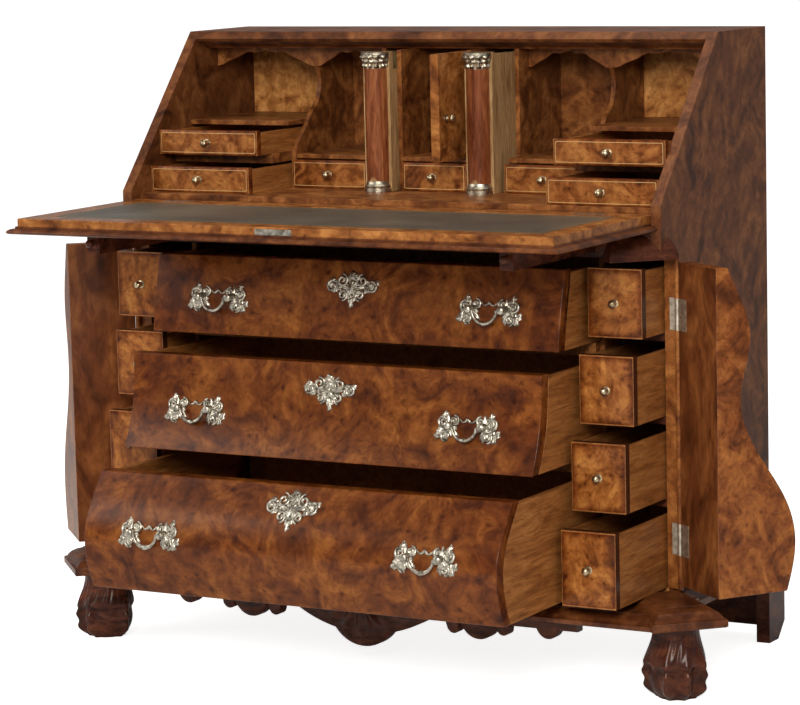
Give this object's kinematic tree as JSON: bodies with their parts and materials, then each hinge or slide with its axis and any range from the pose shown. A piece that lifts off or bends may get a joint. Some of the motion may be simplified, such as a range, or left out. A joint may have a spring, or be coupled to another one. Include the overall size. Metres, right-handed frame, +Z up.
{
  "type": "secretaire chest",
  "caption": "Slant-front secretaire chest with bombe drawers, a fitted desk behind a drop flap, and diagonal corner pilasters that swing out over small drawers.",
  "frame": {"origin": "on the floor, under the middle of the whole piece as it stands open", "axes": "+X the sitter's right, +Y towards the wall behind, +Z up"},
  "size_m": [1.4113, 0.7762, 1.048],
  "materials": {
    "burl_veneer": "polished burl veneer",
    "dark_mahogany": "dark polished mahogany",
    "drawer_timber": "plain drawer timber",
    "writing_leather": "dark tooled leather",
    "antique_silver": "antique silvered casting",
    "aged_brass": "aged brass"
  },
  "bodies": {
    "carcass": {"side_panel_right": "burl_veneer", "side_panel_left": "burl_veneer", "top_board": "burl_veneer", "back_panel": "drawer_timber", "desk_floor": "burl_veneer", "drawer_rails": "drawer_timber", "front_rail": "dark_mahogany", "inner_partitions": "drawer_timber", "small_drawer_shelves": "drawer_timber", "plinth": "dark_mahogany", "apron": "dark_mahogany", "front_foot_right": "dark_mahogany", "front_foot_left": "dark_mahogany", "rear_bracket_feet": "dark_mahogany", "corner_caps": "dark_mahogany", "pilaster_hinges": "aged_brass", "desk_partitions": "burl_veneer", "desk_shelves": "burl_veneer", "valances_and_cornice": "burl_veneer"},
    "flap": {"flap_panel": "burl_veneer", "writing_leather": "writing_leather", "flap_lock_and_leaves": "antique_silver"},
    "loper_right": {"loper_right": "burl_veneer"},
    "pilaster_right": {"pilaster_right": "burl_veneer"},
    "loper_left": {"loper_left": "burl_veneer"},
    "pilaster_left": {"pilaster_left": "burl_veneer"},
    "wide_drawer_3": {"wide_drawer_3_front": "burl_veneer", "wide_drawer_3_box": "drawer_timber", "wide_drawer_3_plates": "antique_silver"},
    "wide_drawer_3_bail_right": {"wide_drawer_3_bail_right": "antique_silver"},
    "wide_drawer_3_bail_left": {"wide_drawer_3_bail_left": "antique_silver"},
    "wide_drawer_2": {"wide_drawer_2_front": "burl_veneer", "wide_drawer_2_box": "drawer_timber", "wide_drawer_2_plates": "antique_silver"},
    "wide_drawer_2_bail_right": {"wide_drawer_2_bail_right": "antique_silver"},
    "wide_drawer_2_bail_left": {"wide_drawer_2_bail_left": "antique_silver"},
    "wide_drawer_1": {"wide_drawer_1_front": "burl_veneer", "wide_drawer_1_box": "drawer_timber", "wide_drawer_1_plates": "antique_silver"},
    "wide_drawer_1_bail_right": {"wide_drawer_1_bail_right": "antique_silver"},
    "wide_drawer_1_bail_left": {"wide_drawer_1_bail_left": "antique_silver"},
    "corner_drawer_right_4": {"corner_drawer_right_4": "burl_veneer"},
    "corner_drawer_left_4": {"corner_drawer_left_4": "burl_veneer"},
    "corner_drawer_right_3": {"corner_drawer_right_3": "burl_veneer"},
    "corner_drawer_left_3": {"corner_drawer_left_3": "burl_veneer"},
    "corner_drawer_right_2": {"corner_drawer_right_2": "burl_veneer"},
    "corner_drawer_left_2": {"corner_drawer_left_2": "burl_veneer"},
    "corner_drawer_right_1": {"corner_drawer_right_1": "burl_veneer"},
    "corner_drawer_left_1": {"corner_drawer_left_1": "burl_veneer"},
    "desk_drawer_left_lower": {"desk_drawer_left_lower": "burl_veneer"},
    "desk_drawer_left_upper": {"desk_drawer_left_upper": "burl_veneer"},
    "desk_drawer_right_lower": {"desk_drawer_right_lower": "burl_veneer"},
    "desk_drawer_right_upper": {"desk_drawer_right_upper": "burl_veneer"},
    "desk_drawer_left_middle": {"desk_drawer_left_middle": "burl_veneer"},
    "desk_drawer_right_middle": {"desk_drawer_right_middle": "burl_veneer"},
    "desk_drawer_centre": {"desk_drawer_centre": "burl_veneer"},
    "document_slide_right": {"document_slide_right": "burl_veneer"},
    "document_slide_left": {"document_slide_left": "burl_veneer"},
    "prospect_door": {"prospect_door": "burl_veneer"}
  },
  "joints": [
    {"name": "flap_hinge", "type": "hinge", "parent": "carcass", "child": "flap", "pos_m": [0, -0.03217, 0.768], "axis": [1, 0, 0], "range_deg": [-106, 0]},
    {"name": "loper_right_slide", "type": "slide", "parent": "carcass", "child": "loper_right", "axis": [0, -1, 0], "range_m": [-0.278, 0]},
    {"name": "pilaster_right_hinge", "type": "hinge", "parent": "carcass", "child": "pilaster_right", "pos_m": [0.522, 0.00764, 0.12], "axis": [0, 0, 1], "range_deg": [-65, 31]},
    {"name": "loper_left_slide", "type": "slide", "parent": "carcass", "child": "loper_left", "axis": [0, -1, 0], "range_m": [-0.278, 0]},
    {"name": "pilaster_left_hinge", "type": "hinge", "parent": "carcass", "child": "pilaster_left", "pos_m": [-0.522, 0.00764, 0.12], "axis": [0, 0, -1], "range_deg": [-56, 40]},
    {"name": "wide_drawer_3_slide", "type": "slide", "parent": "carcass", "child": "wide_drawer_3", "axis": [0, -1, 0], "range_m": [-0.227, 0.06]},
    {"name": "wide_drawer_3_bail_right_swing", "type": "hinge", "parent": "wide_drawer_3", "child": "wide_drawer_3_bail_right", "pos_m": [0.258, -0.3836, 0.2581], "axis": [-1, 0, 0], "range_deg": [0, 80]},
    {"name": "wide_drawer_3_bail_left_swing", "type": "hinge", "parent": "wide_drawer_3", "child": "wide_drawer_3_bail_left", "pos_m": [-0.258, -0.3836, 0.2581], "axis": [-1, 0, 0], "range_deg": [0, 80]},
    {"name": "wide_drawer_2_slide", "type": "slide", "parent": "carcass", "child": "wide_drawer_2", "axis": [0, -1, 0], "range_m": [-0.177, 0.11]},
    {"name": "wide_drawer_2_bail_right_swing", "type": "hinge", "parent": "wide_drawer_2", "child": "wide_drawer_2_bail_right", "pos_m": [0.258, -0.23325, 0.44304], "axis": [-1, 0, 0], "range_deg": [0, 80]},
    {"name": "wide_drawer_2_bail_left_swing", "type": "hinge", "parent": "wide_drawer_2", "child": "wide_drawer_2_bail_left", "pos_m": [-0.258, -0.23325, 0.44304], "axis": [-1, 0, 0], "range_deg": [0, 80]},
    {"name": "wide_drawer_1_slide", "type": "slide", "parent": "carcass", "child": "wide_drawer_1", "axis": [0, -1, 0], "range_m": [-0.119, 0.168]},
    {"name": "wide_drawer_1_bail_right_swing", "type": "hinge", "parent": "wide_drawer_1", "child": "wide_drawer_1_bail_right", "pos_m": [0.258, -0.15821, 0.62096], "axis": [-1, 0, 0], "range_deg": [0, 80]},
    {"name": "wide_drawer_1_bail_left_swing", "type": "hinge", "parent": "wide_drawer_1", "child": "wide_drawer_1_bail_left", "pos_m": [-0.258, -0.15821, 0.62096], "axis": [-1, 0, 0], "range_deg": [0, 80]},
    {"name": "corner_drawer_right_4_slide", "type": "slide", "parent": "carcass", "child": "corner_drawer_right_4", "axis": [0, -1, 0], "range_m": [-0.197, 0.043]},
    {"name": "corner_drawer_left_4_slide", "type": "slide", "parent": "carcass", "child": "corner_drawer_left_4", "axis": [0, -1, 0], "range_m": [-0.197, 0.043]},
    {"name": "corner_drawer_right_3_slide", "type": "slide", "parent": "carcass", "child": "corner_drawer_right_3", "axis": [0, -1, 0], "range_m": [-0.156, 0.084]},
    {"name": "corner_drawer_left_3_slide", "type": "slide", "parent": "carcass", "child": "corner_drawer_left_3", "axis": [0, -1, 0], "range_m": [-0.156, 0.084]},
    {"name": "corner_drawer_right_2_slide", "type": "slide", "parent": "carcass", "child": "corner_drawer_right_2", "axis": [0, -1, 0], "range_m": [-0.123, 0.117]},
    {"name": "corner_drawer_left_2_slide", "type": "slide", "parent": "carcass", "child": "corner_drawer_left_2", "axis": [0, -1, 0], "range_m": [-0.126, 0.114]},
    {"name": "corner_drawer_right_1_slide", "type": "slide", "parent": "carcass", "child": "corner_drawer_right_1", "axis": [0, -1, 0], "range_m": [-0.088, 0.152]},
    {"name": "corner_drawer_left_1_slide", "type": "slide", "parent": "carcass", "child": "corner_drawer_left_1", "axis": [0, -1, 0], "range_m": [-0.115, 0.125]},
    {"name": "desk_drawer_left_lower_slide", "type": "slide", "parent": "carcass", "child": "desk_drawer_left_lower", "axis": [0, -1, 0], "range_m": [-0.018, 0.09]},
    {"name": "desk_drawer_left_upper_slide", "type": "slide", "parent": "carcass", "child": "desk_drawer_left_upper", "axis": [0, -1, 0], "range_m": [-0.022, 0.09]},
    {"name": "desk_drawer_right_lower_slide", "type": "slide", "parent": "carcass", "child": "desk_drawer_right_lower", "axis": [0, -1, 0], "range_m": [-0.047, 0.09]},
    {"name": "desk_drawer_right_upper_slide", "type": "slide", "parent": "carcass", "child": "desk_drawer_right_upper", "axis": [0, -1, 0], "range_m": [-0.054, 0.09]},
    {"name": "desk_drawer_left_middle_slide", "type": "slide", "parent": "carcass", "child": "desk_drawer_left_middle", "axis": [0, -1, 0], "range_m": [-0.012, 0.07]},
    {"name": "desk_drawer_right_middle_slide", "type": "slide", "parent": "carcass", "child": "desk_drawer_right_middle", "axis": [0, -1, 0], "range_m": [-0.012, 0.07]},
    {"name": "desk_drawer_centre_slide", "type": "slide", "parent": "carcass", "child": "desk_drawer_centre", "axis": [0, -1, 0], "range_m": [-0.014, 0.07]},
    {"name": "document_slide_right_slide", "type": "slide", "parent": "carcass", "child": "document_slide_right", "axis": [0, -1, 0], "range_m": [-0.04, 0.03]},
    {"name": "document_slide_left_slide", "type": "slide", "parent": "carcass", "child": "document_slide_left", "axis": [0, -1, 0], "range_m": [-0.04, 0.03]},
    {"name": "prospect_door_hinge", "type": "hinge", "parent": "carcass", "child": "prospect_door", "pos_m": [0.062, 0.18364, 0.837], "axis": [0, 0, 1], "range_deg": [-90, 2]}
  ]
}
